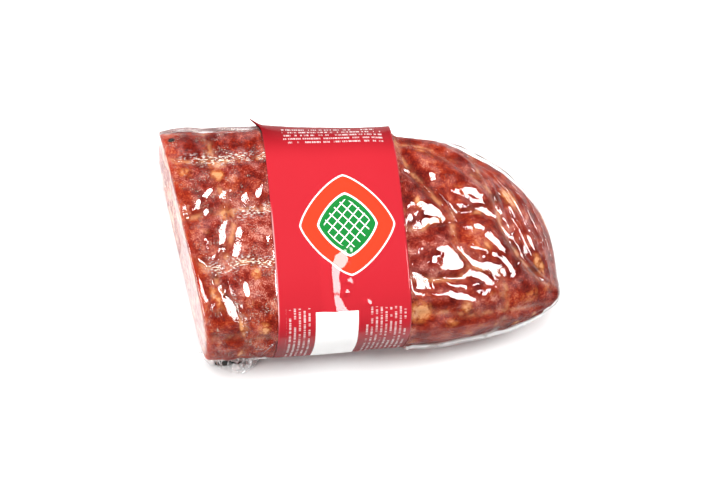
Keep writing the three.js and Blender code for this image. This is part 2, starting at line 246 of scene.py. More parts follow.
# Loose folds of the film: root and outline on the floor plan, and the height of the sheet
TAIL_ROOT = [(-82, -45), (-70, -46), (-56, -46)]
TAIL_EDGE = [(-88, -51), (-83, -58), (-78, -60), (-72, -63), (-66, -64.5), (-61, -62), (-53, -55)]
# Dark spots painted on the tail as shade in its hollows:
TAIL_SHADE_SPOTS = [(-74.8, -57.8, 5.2, 1.4), (-67.6, -57.6, 2.2, 1.3)]      # x, y, half length, half width
EAR_ROOT = [(-87, 55), (-92, 47), (-96, 39)]
EAR_EDGE = [(-86, 59), (-95, 63.5), (-103, 65), (-108, 61), (-108, 54), (-106, 45), (-101, 37)]

# The camera and the key light, from the middle of the salami
CAMERA_TURN = 10.0
CAMERA_TILT = 18.0
CAMERA_ROLL = -5.727
TARGET_Z = 27.0
TARGET_PIXEL_Y = 238.384
PIXELS_PER_MM = 1.88
CAMERA_DISTANCE = 1000.0
IMAGE_WIDTH = 720
IMAGE_HEIGHT = 480
SENSOR = 36.0
KEY_DIRECTION = Vector((0.52, 0.02, 0.85)).normalized()
KEY_DISTANCE = 1100.0


def clamp01(v):
    return np.clip(v, 0.0, 1.0)


def mix(a, b, t):
    return a + (b - a) * t


def smooth(v):
    return clamp01(v) ** 2 * (3 - 2 * clamp01(v))


def bump(distance, width):
    return np.exp(-(distance / width) ** 2)


def power(v, exponent):
    return np.sign(v) * np.abs(v) ** exponent


def smooth_curve(knots, steps_between=5):
    """Points on a smooth curve through the knots."""
    k = np.array(knots, float)
    last = len(k) - 1
    t = np.linspace(0, last, steps_between * last + 1)
    i = np.minimum(t.astype(int), last - 1)
    w = (t - i)[:, None]
    before, start, end, after = k[np.maximum(i - 1, 0)], k[i], k[i + 1], k[np.minimum(i + 2, last)]
    go, arrive = (end - before) / 2, (after - start) / 2
    return ((2 * start - 2 * end + go + arrive) * w ** 3 + (3 * end - 3 * start - 2 * go - arrive) * w ** 2
            + go * w + start)


def profile(x):
    """Middle, half width, waist height, rise and drop of the smooth salami at places along it."""
    t = clamp01((x - SHOULDER_X) / (TIP_X - SHOULDER_X))
    k = clamp01((x - CUT_X) / (SHOULDER_X - CUT_X))
    half = mix(CUT_HALF_WIDTH, SHOULDER_HALF_WIDTH, k) + BULGE * k * (1 - k)
    far = TIP_Y + (half - TIP_Y) * (1 - t ** FAR_CURVE[0]) ** FAR_CURVE[1]
    near = TIP_Y - (half + TIP_Y) * (1 - t ** NEAR_CURVE[0]) ** NEAR_CURVE[1]
    waist = WAIST_Z - WAIST_FALL * t
    rise = CROWN_RISE * np.sqrt(1 - t ** CROWN_CURVE)
    drop = PRESSED_FLAT * waist * np.sqrt(1 - t ** UNDERSIDE_CURVE)
    return (far + near) / 2, (far - near) / 2, waist, rise, drop


GIRTH_SAMPLES = 720
ANGLES = math.pi / 2 - np.linspace(0, 2 * math.pi, GIRTH_SAMPLES + 1)
SIDE = power(np.cos(ANGLES), 2 / SQUARENESS)
UP = power(np.sin(ANGLES), 2 / SQUARENESS)


def wrap(xs, shares, out, floor):
    """Points round the salami: for each x a ring of points at the shares, moved out along the normal. out holds one
    number for each point, floor is the lowest height of each ring. Returns points [ring, share, 3] in millimetres."""
    points = np.empty(out.shape + (3,))
    for r, x in enumerate(xs):
        middle, half, waist, rise, drop = profile(x)
        y = middle + half * SIDE
        z = waist + np.where(UP > 0, rise, drop) * UP
        lengths = np.concatenate([[0], np.cumsum(np.hypot(np.diff(y), np.diff(np.maximum(z, 0))))])
        go_y, go_z = np.gradient(y), np.gradient(z)
        size = np.hypot(go_y, go_z) + 1e-9
        wanted = (shares % 1) * lengths[-1]
        normal_y = np.interp(wanted, lengths, -go_z / size)
        normal_z = np.interp(wanted, lengths, go_y / size)
        points[r, :, 0] = x
        points[r, :, 1] = np.interp(wanted, lengths, y) + out[r] * normal_y
        points[r, :, 2] = np.maximum(np.interp(wanted, lengths, z) + out[r] * normal_z, floor[r])
    return points


def girth(x):
    middle, half, waist, rise, drop = profile(x)
    y = middle + half * SIDE
    z = np.maximum(waist + np.where(UP > 0, rise, drop) * UP, 0)
    return np.hypot(np.diff(y), np.diff(z)).sum()


def slanted(points, fade_x):
    """Slants the rings near the cut, so that the cut face is one oblique plane."""
    fade = smooth(1 - (fade_x - CUT_X) / (BAND_LEFT - CUT_X))[:, None]
    points[..., 0] += fade * (CUT_SLANT_Y * points[..., 1] + CUT_SLANT_Z * (points[..., 2] - WAIST_Z))
    return points


def distance_to(curve, x, across, scale):
    """Millimetres from every point of the grid to a curve of [x, share], with scale millimetres to a share of 1."""
    nearest = np.full(x.shape, 1e9)
    for a, b in zip(curve[:-1], curve[1:]):
        run_x, run_s = b[0] - a[0], (b[1] - a[1]) * scale
        gone_x, gone_s = x - a[0], (across - a[1]) * scale
        t = clamp01((gone_x * run_x + gone_s * run_s) / (run_x ** 2 + run_s ** 2 + 1e-9))
        nearest = np.minimum(nearest, np.hypot(gone_x - t * run_x, gone_s - t * run_s))
    return nearest


def net_fields(x, share, scale):
    """Furrows, pillow edges and the distance to the nearest strand, for every point of the grid."""
    shut_furrow, shut_pillow, nearest = 1.0, 1.0, np.full(x.shape, 1e9)
    for knots in STRANDS_ALONG + STRANDS_ROUND:
        d = distance_to(smooth_curve(knots), x, share, scale)
        shut_furrow = shut_furrow * (1 - bump(d, NET_WIDTH))
        shut_pillow = shut_pillow * (1 - bump(d, PILLOW_WIDTH))
        nearest = np.minimum(nearest, d)
    return 1 - shut_furrow, 1 - shut_pillow, nearest


def unevenness(x, share):
    turn = 2 * math.pi * share
    return LUMP_HEIGHT * (2 - np.sin(x / 11 + 3 * turn) - np.sin(x / 7 - 5 * turn + 1)) / 2


def nest(x):
    past = np.maximum(np.maximum(BAND_LEFT - BAND_MARGIN - x, x - BAND_RIGHT - BAND_MARGIN), 0)
    return 1 - smooth(past / NEST_SLOPE)


def shift_to_row():
    """The frame's origin is under the middle of the box, so the salami's own millimetres are moved by this much."""
    low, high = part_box("label_band")
    xs = np.linspace(BAND_LEFT, BAND_RIGHT, 9)
    middle, half = profile(xs)[:2]
    return high.x / MM - BAND_RIGHT, low.y / MM - (middle - half).min()


SHIFT_X, SHIFT_Y = shift_to_row()


def to_row(points):
    return (np.asarray(points) + [SHIFT_X, SHIFT_Y, 0]) * MM


# Modelling

def deselect_all():
    if bpy.context.object and bpy.context.object.mode != "OBJECT":
        bpy.ops.object.mode_set(mode="OBJECT")
    bpy.ops.object.select_all(action="DESELECT")


def add_grid(name, rows, columns):
    """A grid of rows by columns of points, as the active object. Row r, column c is point r * columns + c."""
    deselect_all()
    bpy.ops.mesh.primitive_grid_add(x_subdivisions=columns - 1, y_subdivisions=rows - 1, size=1)
    grid = bpy.context.object
    grid.name = name
    grid.data.name = name
    return grid


def place(piece, points):
    piece.data.vertices.foreach_set("co", to_row(points).reshape(-1).astype(np.float32))
    piece.data.update()


def keep_field(piece, name, values):
    """A number for each point, which a material reads as an attribute."""
    field = piece.data.attributes.new(name, "FLOAT", "POINT")
    field.data.foreach_set("value", np.asarray(values, np.float32).reshape(-1))


def close_up(piece, smooth_angle=60):
    """Joins the points that meet, turns the faces outwards and shades the surface smooth."""
    deselect_all()
    piece.select_set(True)
    bpy.context.view_layer.objects.active = piece
    bpy.ops.object.mode_set(mode="EDIT")
    bpy.ops.mesh.select_all(action="SELECT")
    bpy.ops.mesh.remove_doubles(threshold=1e-6)
    bpy.ops.mesh.normals_make_consistent(inside=False)
    bpy.ops.object.mode_set(mode="OBJECT")
    bpy.ops.object.shade_smooth_by_angle(angle=math.radians(smooth_angle))


def apply_modifiers(piece):
    deselect_all()
    piece.select_set(True)
    bpy.context.view_layer.objects.active = piece
    for modifier in list(piece.modifiers):
        bpy.ops.object.modifier_apply(modifier=modifier.name)


def value_noise(x, y, seed):
    """Smooth noise between -1 and 1 on a grid of random numbers one unit apart."""
    table = np.random.default_rng(seed).uniform(-1, 1, (64, 64))
    i, j = np.floor(x).astype(int), np.floor(y).astype(int)
    u, v = smooth(x - i), smooth(y - j)
    corner = lambda a, b: table[(i + a) % 64, (j + b) % 64]
    return mix(mix(corner(0, 0), corner(1, 0), u), mix(corner(0, 1), corner(1, 1), u), v)


# Rings along the skin: the cap over the cut, the rim, and the body out to the tip

def stations(cap_rings, left_rings, band_rings, right_rings):
    """For each ring its x, how far it is pulled in at the rim, and its share of the full ring where it is on the cap."""
    cap = np.linspace(0, 1, cap_rings, endpoint=False)
    turn = np.linspace(0, math.pi / 2, 6)[:-1]
    rim_x = CUT_X + CUT_RIM * (1 - np.cos(turn))
    rim_in = CUT_RIM * (1 - np.sin(turn))
    left = np.linspace(CUT_X + CUT_RIM, BAND_LEFT + 1, left_rings)
    under = np.linspace(BAND_LEFT + 2, BAND_RIGHT - 2, band_rings)
    ease = np.linspace(0, 1, right_rings)
    right = BAND_RIGHT - 1 + (TIP_X - BAND_RIGHT + 1 - 0.02) * mix(ease, np.sin(ease * math.pi / 2), 0.65)
    x = np.concatenate([np.full(cap_rings, CUT_X), rim_x, left, under, right, [TIP_X - 0.02]])
    inset = np.concatenate([np.full(cap_rings, CUT_RIM), rim_in, np.zeros(left_rings + band_rings + right_rings + 1)])
    share = np.concatenate([cap, np.ones(len(x) - cap_rings - 1), [0]])
    return x, inset, share


def skin_grid(rings, around):
    x, inset, cap = stations(*rings)
    shares = np.linspace(-0.5, 0.5, around + 1)
    scale = np.array([girth(v) for v in np.minimum(x, TIP_X - 0.3)])[:, None]
    grid_x = np.repeat(x[:, None], around + 1, axis=1)
    grid_s = np.repeat(shares[None, :], len(x), axis=0)
    return x, inset, cap, shares, scale, grid_x, grid_s


def base_relief(grid_x, grid_s, furrow, pillow):
    """Depth below the smooth skin, as the part's source has it, and the swell between the strands."""
    ends = np.minimum(1, np.minimum((grid_x - CUT_X) / CUT_FADE, (TIP_X - grid_x) / TIP_FADE))
    ends = clamp01(ends)
    under = mix(1, PRESSED_RELIEF, smooth((np.abs(grid_s) - PRESSED_SHARE) / PRESSED_FADE))
    depth = under * ends * (NET_DEPTH * furrow + PILLOW_DEPTH * pillow + unevenness(grid_x, grid_s))
    return depth, ends, under


def lay_skin(piece, x, inset, cap, shares, out, floor, set_back=0.0):
    """Places a skin's rings, and draws the cap's rings in towards the middle of the cut."""
    points = slanted(wrap(x, shares, out - inset[:, None], floor), x)
    points[..., 0] += set_back * smooth(1 - (x - CUT_X) / 4)[:, None]
    rim = int(np.argmax(cap == 1))
    centre = points[rim].mean(axis=0)
    points[:rim] = mix(centre, points[rim][None], cap[:rim, None, None])
    points[-1] = points[-1].mean(axis=0)
    place(piece, points)
    return points


def along_and_across(gx, gs, scale, spot_x, spot_s, turn):
    """Millimetres from a spot, along and across a direction that is turned from the length of the salami."""
    dx, ds = gx - spot_x, (gs - spot_s) * scale
    c, s = math.cos(math.radians(turn)), math.sin(math.radians(turn))
    return c * dx + s * ds, c * ds - s * dx


def shine_slopes(x, share):
    """How much the film must rise along x and along the share to mirror the key light at the camera."""
    ring = wrap([x, x + 1], np.array([share, share + 0.003]), np.zeros((2, 2)), [0, 0])
    along = Vector(ring[1, 0] - ring[0, 0]).normalized()
    across = Vector(ring[0, 1] - ring[0, 0]).normalized()
    normal = across.cross(along)
    if normal.z < 0:
        normal.negate()
    here = Vector(ring[0, 0])
    target = Vector((0, 0, TARGET_Z))
    to_camera = (target + camera_back() * CAMERA_DISTANCE - here).normalized()
    to_key = (KEY_DIRECTION * KEY_DISTANCE - here).normalized()
    half = (to_camera + to_key).normalized()
    return -half.dot(along) / half.dot(normal), -half.dot(across) / half.dot(normal)


def lay_flat(out, spots, gx, gs, scale, ragged=1.1, shines=True, lift=0.0, reach=0.9):
    """Lays flat facets, which mirror the key light or turn away from it, into the film's distance from the smooth
    form."""
    mm = gs * scale
    waver_x = ragged * (value_noise(gx / 2.3, mm / 2.3, 31) + 0.5 * value_noise(gx, mm, 33))
    waver_s = ragged * (value_noise(gx / 2.3, mm / 2.3, 32) + 0.5 * value_noise(gx, mm, 34))
    for x, share, length, width, turn in spots:
        rise_x, rise_s = shine_slopes(x, share)
        if not shines:
            away = min(0, 1 - DULL_SLOPE / math.hypot(rise_x, rise_s))
            rise_x, rise_s = rise_x * away, rise_s * away
        along, across = along_and_across(gx + waver_x, gs + waver_s / scale, scale, x, share, turn)
        inside = np.exp(-((along / (length / 2)) ** 2 + (across / (width / 2)) ** 2) ** 2)
        level = out[np.unravel_index(np.argmin(np.abs(gx - x) + np.abs((gs - share) * scale)), out.shape)]
        plane = rise_x * (gx - x) + rise_s * (gs - share) * scale
        out = mix(out, level + lift + reach * np.tanh(plane / reach), inside)
    return out


def lay_crest(out, knots, gx, gs, scale):
    """Raises a dent's crest down the band: a steep left flank, and a right flank that mirrors the key light at the
    camera all along."""
    x, share = smooth_curve(knots)[::-1].T
    rise = np.array([shine_slopes(*spot) for spot in zip(x, share)])
    down = np.sign(rise[:, 1]) * np.maximum(np.abs(rise[:, 1]) - CREST_EASE, 0)
    steps = rise[1:, 0] * np.diff(x) + (down[1:] + down[:-1]) / 2 * np.diff(share) * scale.mean()
    climb = np.concatenate([[0], np.cumsum(steps)])
    crest_x, crest, slope = (np.interp(gs, share, v) for v in (x, CREST_HEIGHT + climb - climb.min(), rise[:, 0]))
    past = gx - crest_x
    flanks = np.where(past > 0, np.maximum(crest + slope * past, 0), crest * smooth(1 + past / CREST_BACK))
    return out + flanks * smooth((gs - share[0] + 0.022) / 0.022) * smooth((share[-1] + 0.012 - gs) / 0.012)


def swells(spots, gx, gs, scale):
    """Sum of smooth swells of the given length along the salami, width round it, and height."""
    total = np.zeros(gx.shape)
    for x, share, length, width, height in spots:
        total = total + height * bump(np.hypot((gx - x) / (length / 2), (gs - share) * scale / (width / 2)), 1.0)
    return total


def film_skin(gx, gs, scale):
    """How far the film lies outside the smooth form, the furrows, and the distance to the nearest pleat."""
    furrow, pillow, nearest = net_fields(gx, gs, scale)
    depth, ends, under = base_relief(gx, gs, furrow, pillow)
    nested = nest(gx)
    taut_pillow = clamp01(1 - nearest / 13)
    bridged = 0.72 - 0.5 * smooth((gs - 0.13) / 0.06) - 0.25 * smooth((-0.14 - gs) / 0.04)
    taut, _, _ = base_relief(gx, gs, bridged * furrow, mix(pillow, taut_pillow, 0.6) * (0.4 + 0.6 * bridged / 0.72))
    mm = gs * scale
    slack = 0.2 * value_noise(gx / 8, mm / 8, 8) + 0.1 * value_noise(gx / 3.1, mm / 3.1, 9)
    loose = under * (1 - nested) * clamp01((gx - CUT_X) / 3)
    out = SWELL * ends - taut + loose * slack
    hug = smooth(1 - np.maximum(BAND_LEFT - gx, gx - BAND_RIGHT) / BAND_HUG)
    out = mix(mix(out, -0.1, 0.85 * hug), -BAND_NEST, nested)
    out = out + NUB_HEIGHT * bump(np.hypot(gx - NUB[0], (gs - NUB[1]) * scale), 3.8)
    out = out + (swells(LOOSE_FILM, gx, gs, scale) + swells(LEANS, gx, gs, scale)) * (1 - nested)
    flat = lay_flat(lay_flat(out, DULL_FACETS, gx, gs, scale, shines=False), FACETS, gx, gs, scale)
    flat = lay_flat(flat, CRESTS, gx, gs, scale, ragged=0.3)
    out = mix(out, flat, loose)
    crease = np.full(gx.shape, 1e9)
    for height, knots in PLEATS:
        d = distance_to(smooth_curve(knots), gx, gs, scale)
        crease = np.minimum(crease, d / height)
        out = out + (1 - nested) * ends * height * bump(d, 0.8)
    for height, width, knots in FOLDS:
        out = out + height * bump(distance_to(smooth_curve(knots), gx, gs, scale), width)
    return out, depth, under, nested, furrow, nearest, crease


def fat_field(gx, gs, scale):
    """Paleness of the lumps of fat: those that show, and seeded ones round the sides that don't."""
    rng = np.random.default_rng(12)
    lumps = list(FAT_LUMPS)
    for _ in range(HIDDEN_LUMPS):
        x, share = rng.uniform(CUT_X, TIP_X - 4), rng.uniform(-0.5, 0.5)
        length, width, turn, pale = rng.uniform(4, 9), rng.uniform(4, 9), rng.uniform(-60, 60), rng.uniform(0.4, 0.9)
        faint = 0.4 if -0.2 < share < 0.17 else 1.0
        lumps.append((x, share, length, width, turn, pale * faint))
    fat = np.zeros(gx.shape)
    for x, share, length, width, turn, pale in lumps:
        along, across = along_and_across(gx, gs, scale, x, share, turn)
        fat = np.maximum(fat, pale * np.exp(-((along / (length / 2)) ** 2 + (across / (width / 2)) ** 2) ** 1.2))
    return fat


def make_meat():
    rings, around = (26, 74, 8, 150), 330
    x, inset, cap, shares, scale, gx, gs = skin_grid(rings, around)
    skin, depth, under, nested, furrow, nearest, _ = film_skin(gx, gs, scale)
    fat = fat_field(gx, gs, scale)
    mm = gs * scale
    rough = (0.3 * value_noise(gx / 5.2, mm / 5.2, 3) + 0.16 * value_noise(gx / 2.3, mm / 2.3, 4)
             + 0.08 * value_noise(gx / 1.1, mm / 1.1, 5))
    fine = clamp01((gx - CUT_X) / 3) * under * (1 - nested)
    ends = clamp01(np.minimum((gx - CUT_X) / CUT_FADE, (TIP_X - gx) / TIP_FADE))
    out = mix(SWELL * ends, -BAND_NEST, nested) - depth - 0.7 + fine * (rough + 0.45 * fat)
    shallow = 0.5 * smooth((gs - 0.13) / 0.06) + 0.3 * smooth((-0.14 - gs) / 0.04)
    out = out + shallow * (1 - nested) * (depth - clamp01(depth)) + swells(LEANS, gx, gs, scale) * (1 - nested)
    hug = smooth(1 - np.maximum(BAND_LEFT - gx, gx - BAND_RIGHT) / BAND_HUG)
    out = np.clip(out, skin - mix(1.2, 0.25, hug) - swells(LOOSE_FILM, gx, gs, scale), skin - 0.15)
    meat = add_grid("meat", len(x), around + 1)
    lay_skin(meat, x, inset, cap, shares, out, 0.25 + BAND_NEST * nest(x), 0.4)
    on_cut = np.repeat((cap < 1)[:, None], around + 1, axis=1) & (gx < 0)
    spot = np.hypot(gx - DARK_SPOT[0], (gs - DARK_SPOT[1]) * scale)
    paler, warmer = np.zeros(gx.shape), np.zeros(gx.shape)
    for x_, share, radius, pale, warm in TONES:
        near = bump(np.hypot(gx - x_, (gs - share) * scale), radius)
        paler, warmer = paler + pale * near, warmer + warm * near
    keep_field(meat, "furrow", np.where(on_cut, 0, furrow * under))
    keep_field(meat, "fat", np.where(on_cut, 0, fat))
    keep_field(meat, "from_cut", np.where(on_cut, 0, gx - CUT_X))
    keep_field(meat, "cut_face", on_cut.astype(float))
    keep_field(meat, "low", np.abs(gs))
    keep_field(meat, "strand", np.where(on_cut, 30, nearest))
    keep_field(meat, "paler", paler)
    keep_field(meat, "warmer", warmer)
    keep_field(meat, "dark_spot", np.where(on_cut, 9, spot))
    close_up(meat, 50)
    return meat


def keep_uv(piece, across, upward):
    """Two lengths in millimetres for each point as the piece's UV map."""
    corner = np.empty(len(piece.data.loops), np.int32)
    piece.data.loops.foreach_get("vertex_index", corner)
    flat = np.stack([across.reshape(-1), upward.reshape(-1)], axis=1)[corner]
    piece.data.uv_layers.active.data.foreach_set("uv", flat.reshape(-1).astype(np.float32))


def make_film():
    rings, around = (10, 84, 8, 176), 340
    x, inset, cap, shares, scale, gx, gs = skin_grid(rings, around)
    out, _, under, nested, furrow, nearest, crease = film_skin(gx, gs, scale)
    film = add_grid("film", len(x), around + 1)
    lay_skin(film, x, inset, cap, shares, out, BAND_NEST * nest(x))
    on_cut = np.repeat((cap < 1)[:, None], around + 1, axis=1) & (gx < 0)
    squeeze = np.exp(-np.maximum(BAND_LEFT - gx, gx - BAND_RIGHT) / 13)
    keep_field(film, "furrow", np.where(on_cut, 0, furrow))
    keep_field(film, "crease", np.where(on_cut, 30, crease))
    keep_field(film, "cut_face", on_cut.astype(float))
    # Painted glints: how strongly the crinkle lines are whitened with haze.
    crinkle_glints = np.zeros(gx.shape)
    for strength, knots in CRINKLE_GLINTS:
        crinkle_glints = np.maximum(crinkle_glints, strength * bump(distance_to(smooth_curve(knots), gx, gs, scale), 2.8))
    keep_field(film, "crinkle_glints", crinkle_glints)
    keep_field(film, "side", np.where(on_cut, 0, np.abs(gs)))
    keep_field(film, "squeeze", np.where(on_cut, 0, squeeze))
    # Painted highlights: how strongly the stretched edges are whitened with haze.
    hem_highlight = np.zeros(gx.shape)
    for strength, width, knots in HEM_HIGHLIGHTS:
        hem_highlight = np.maximum(hem_highlight, strength * bump(distance_to(smooth_curve(knots), gx, gs, scale), width))
    keep_field(film, "hem_highlight", np.where(on_cut, 0, hem_highlight))
    keep_field(film, "standing", np.where(on_cut, 0, clamp01(swells(LOOSE_FILM, gx, gs, scale) / 3)))
    keep_uv(film, gx, gs * scale)
    close_up(film, 70)
    return film


def make_fold(name, root, edge, level, crumple, seed, shade_spots=()):
    """A loose fold of film: a crumpled sheet from its root in the bag's side out to its edge."""
    along, outward = 90, 40
    u, v = np.linspace(0, 1, along), np.linspace(0, 1, outward)
    spread = lambda line: np.stack([np.interp(u, np.linspace(0, 1, len(line)), line[:, i]) for i in (0, 1)], axis=1)
    start, end = spread(smooth_curve(root)), spread(smooth_curve(edge))
    plan = mix(start[None], end[None], v[:, None, None])
    gu, gv = np.meshgrid(u, v)
    fold = 1 - np.abs(value_noise(gu * 9 + 1.3 * gv, gv * 2.2, seed))
    wrinkle = 1 - np.abs(value_noise(gu * 21 - 3 * gv, gv * 6, seed + 1))
    height = crumple * (0.75 * fold ** 3 + 0.35 * wrinkle ** 2 - 0.35) * smooth(gv * 3) * (1.15 - 0.7 * gv)
    plan = plan + 0.9 * np.stack([value_noise(gu * 12, gv * 5, seed + 2), value_noise(gu * 12, gv * 5, seed + 3)],
                                 axis=2) * (smooth(gv * 4) * smooth((1 - gv) * 6))[..., None]
    points = np.concatenate([plan, np.maximum(mix(level, level * 0.35 + 0.2, gv) + height, 0.35)[..., None]], axis=2)
    sheet = add_grid(name, outward, along)
    place(sheet, points)
    keep_field(sheet, "outward", gv)
    # Painted shade: dark spots in the sheet's hollows.
    shade_field = np.zeros(gu.shape)
    for x, y, length, width in shade_spots:
        shade_field = np.maximum(shade_field, np.exp(-((plan[..., 0] - x) / length) ** 2 - ((plan[..., 1] - y) / width) ** 2))
    keep_field(sheet, "hollow_shade", shade_field)
    close_up(sheet, 80)
    wall = sheet.modifiers.new("thickness", "SOLIDIFY")
    wall.thickness = 0.15 * MM
    wall.offset = 0
    apply_modifiers(sheet)
    return sheet


def flare(gx, gs):
    place_ = bump(gs - FLARE_SHARE, FLARE_SPREAD)
    edge = np.exp(-(gx - BAND_LEFT) / FLARE_REACH) + RIGHT_FLARE * np.exp(-(BAND_RIGHT - gx) / FLARE_REACH)
    tab = TAB_REACH * place_ ** 4 * smooth(1 - (gx - BAND_LEFT) / TAB_WIDTH)
    curl = TAB_CURL * place_ ** 6 * smooth(1 - (gx - BAND_LEFT) / TAB_WIDTH * 2.4)
    return FLARE_HEIGHT * place_ * edge + curl, tab


def make_label():
    along, around = 80, 320
    x = np.linspace(BAND_LEFT, BAND_RIGHT, along)
    shares = np.linspace(-0.5, 0.5, around + 1)
    gx = np.repeat(x[:, None], around + 1, axis=1)
    gs = np.repeat(shares[None, :], along, axis=0)
    off, tab = flare(gx, gs)
    scale = np.array([girth(v) for v in x])[:, None]
    mm = gs * scale
    dents = 0.16 * value_noise(gx / 17, mm / 21, 21) + 0.05 * value_noise(gx / 8, mm / 11, 22)
    out = off - 0.1 + dents * smooth((0.3 - np.abs(gs)) / 0.1)
    out = lay_crest(out, LABEL_CREST, gx, gs, scale)
    out = lay_flat(out, LABEL_FACETS, gx, gs, scale, 0.6, lift=0.45, reach=3.0)
    points = wrap(x, shares, out, np.zeros(along))
    points[..., 0] -= tab
    label = add_grid("label", along, around + 1)
    place(label, points)
    keep_uv(label, gx, mm)
    close_up(label, 60)
    wall = label.modifiers.new("thickness", "SOLIDIFY")
    wall.thickness = 0.3 * MM
    wall.offset = -1
    wall.use_rim = True
    wall.material_offset_rim = 1
    apply_modifiers(label)
    return label


# Shader maths as Python expressions

class Number:
    """One number of a material. Arithmetic on it adds Math nodes."""

    def __init__(self, finish, socket):
        self.finish = finish
        self.socket = socket

    def math(self, operation, *others):
        return Number(self.finish, self.finish.add("ShaderNodeMath", {"operation": operation}, [self, *others]).outputs[0])

    def __add__(self, other):
        return self.math("ADD", other)

    def __radd__(self, other):
        return self.math("ADD", other)

    def __sub__(self, other):
        return self.math("SUBTRACT", other)

    def __rsub__(self, other):
        return self.math("MULTIPLY_ADD", -1.0, other)

    def __mul__(self, other):
        return self.math("MULTIPLY", other)

    def __rmul__(self, other):
        return self.math("MULTIPLY", other)

    def __truediv__(self, other):
        return self.math("DIVIDE", other)

    def __pow__(self, other):
        return self.math("POWER", other)

    def __lt__(self, other):
        return self.math("LESS_THAN", other)

    def __gt__(self, other):
        return self.math("GREATER_THAN", other)

    def __abs__(self):
        return self.math("ABSOLUTE")

    def smaller(self, other):
        return self.math("MINIMUM", other)

    def larger(self, other):
        return self.math("MAXIMUM", other)

    def ramp(self, low, high, out_low=0.0, out_high=1.0):
        """Runs smoothly from out_low at low to out_high at high, and is level beyond."""
        node = self.finish.add("ShaderNodeMapRange", {"interpolation_type": "SMOOTHSTEP"},
                               {"Value": self, "From Min": low, "From Max": high, "To Min": out_low, "To Max": out_high})
        return Number(self.finish, node.outputs["Result"])


class Finish:
    """A material and the ways to add to its nodes."""

    def __init__(self, name):
        self.material = bpy.data.materials.new(name)
        self.material.use_nodes = True
        self.tree = self.material.node_tree
        self.tree.nodes.clear()
        self.output = self.tree.nodes.new("ShaderNodeOutputMaterial")

    def add(self, kind, settings=None, inputs=None):
        """A node of that kind, with its settings set first, then values or links for its sockets."""
        node = self.tree.nodes.new(kind)
        for key, value in (settings or {}).items():
            if key == "stops":
                self.set_stops(node.color_ramp, value)
            else:
                setattr(node, key, value)
        pairs = inputs.items() if isinstance(inputs, dict) else enumerate(inputs or [])
        for key, value in pairs:
            socket = node.inputs[key]
            if isinstance(value, Number):
                self.tree.links.new(value.socket, socket)
            elif isinstance(value, bpy.types.NodeSocket):
                self.tree.links.new(value, socket)
            else:
                socket.default_value = value
        return node

    @staticmethod
    def set_stops(ramp, stops):
        while len(ramp.elements) > 1:
            ramp.elements.remove(ramp.elements[-1])
        for i, (position, colour) in enumerate(stops):
            element = ramp.elements[0] if i == 0 else ramp.elements.new(position)
            element.position = position
            element.color = colour

    def millimetres(self):
        place_ = self.add("ShaderNodeTexCoord").outputs["Object"]
        return self.add("ShaderNodeVectorMath", {"operation": "SCALE"}, {0: place_, "Scale": 1000.0}).outputs[0]

    def uv(self):
        return self.add("ShaderNodeTexCoord").outputs["UV"]

    def field(self, name):
        return Number(self, self.add("ShaderNodeAttribute", {"attribute_name": name}).outputs["Fac"])

    def noise(self, at, size, detail=2.0, roughness=0.5, distortion=0.0):
        node = self.add("ShaderNodeTexNoise", {"noise_dimensions": "3D"},
                        {"Vector": at, "Scale": 1.0 / size, "Detail": detail, "Roughness": roughness,
                         "Distortion": distortion})
        return Number(self, node.outputs["Fac"])

    def cells(self, at, size, feature="F1", randomness=1.0):
        """Distance within cells of about that size, and a random colour for each cell."""
        node = self.add("ShaderNodeTexVoronoi", {"feature": feature, "voronoi_dimensions": "3D"},
                        {"Vector": at, "Scale": 1.0 / size, "Randomness": randomness})
        return Number(self, node.outputs["Distance"]), node.outputs.get("Color")

    def mix_colour(self, share, a, b, blend="MIX"):
        node = self.add("ShaderNodeMix", {"data_type": "RGBA", "blend_type": blend}, {0: share})
        for socket, value in ((node.inputs[6], a), (node.inputs[7], b)):
            if isinstance(value, bpy.types.NodeSocket):
                self.tree.links.new(value, socket)
            else:
                socket.default_value = value
        return node.outputs[2]

    def bump(self, height, distance, strength=1.0, normal=None):
        inputs = {"Height": height, "Distance": distance * MM, "Strength": strength}
        if normal is not None:
            inputs["Normal"] = normal
        return self.add("ShaderNodeBump", {}, inputs).outputs["Normal"]

    def surface(self, socket):
        self.tree.links.new(socket, self.output.inputs["Surface"])
        return self.material


def rgb(red, green, blue):
    """A colour as it looks on screen, from 0 to 255, turned into light."""
    light = lambda v: v / 12.92 if v <= 0.04045 else ((v + 0.055) / 1.055) ** 2.4
    return tuple(light(v / 255) for v in (red, green, blue)) + (1.0,)


def split(finish, vector):
    node = finish.add("ShaderNodeSeparateXYZ", {}, [vector])
    return [Number(finish, socket) for socket in node.outputs]


BROWN_MEAT = [(0.0, rgb(68, 3, 0)), (0.25, rgb(98, 11, 2)), (0.5, rgb(126, 26, 10)), (0.7, rgb(150, 49, 32)),
              (0.86, rgb(174, 88, 72)), (1.0, rgb(200, 136, 118))]
ORANGE_MEAT = [(0.0, rgb(84, 8, 2)), (0.3, rgb(118, 20, 4)), (0.6, rgb(150, 40, 12)), (0.82, rgb(176, 74, 36)),
               (1.0, rgb(200, 116, 74))]
FAT = rgb(180, 96, 46)
FAT_PALE = rgb(222, 158, 106)
FURROW = rgb(150, 80, 54)
RIM = rgb(160, 40, 12)
SPOT = rgb(8, 4, 4)


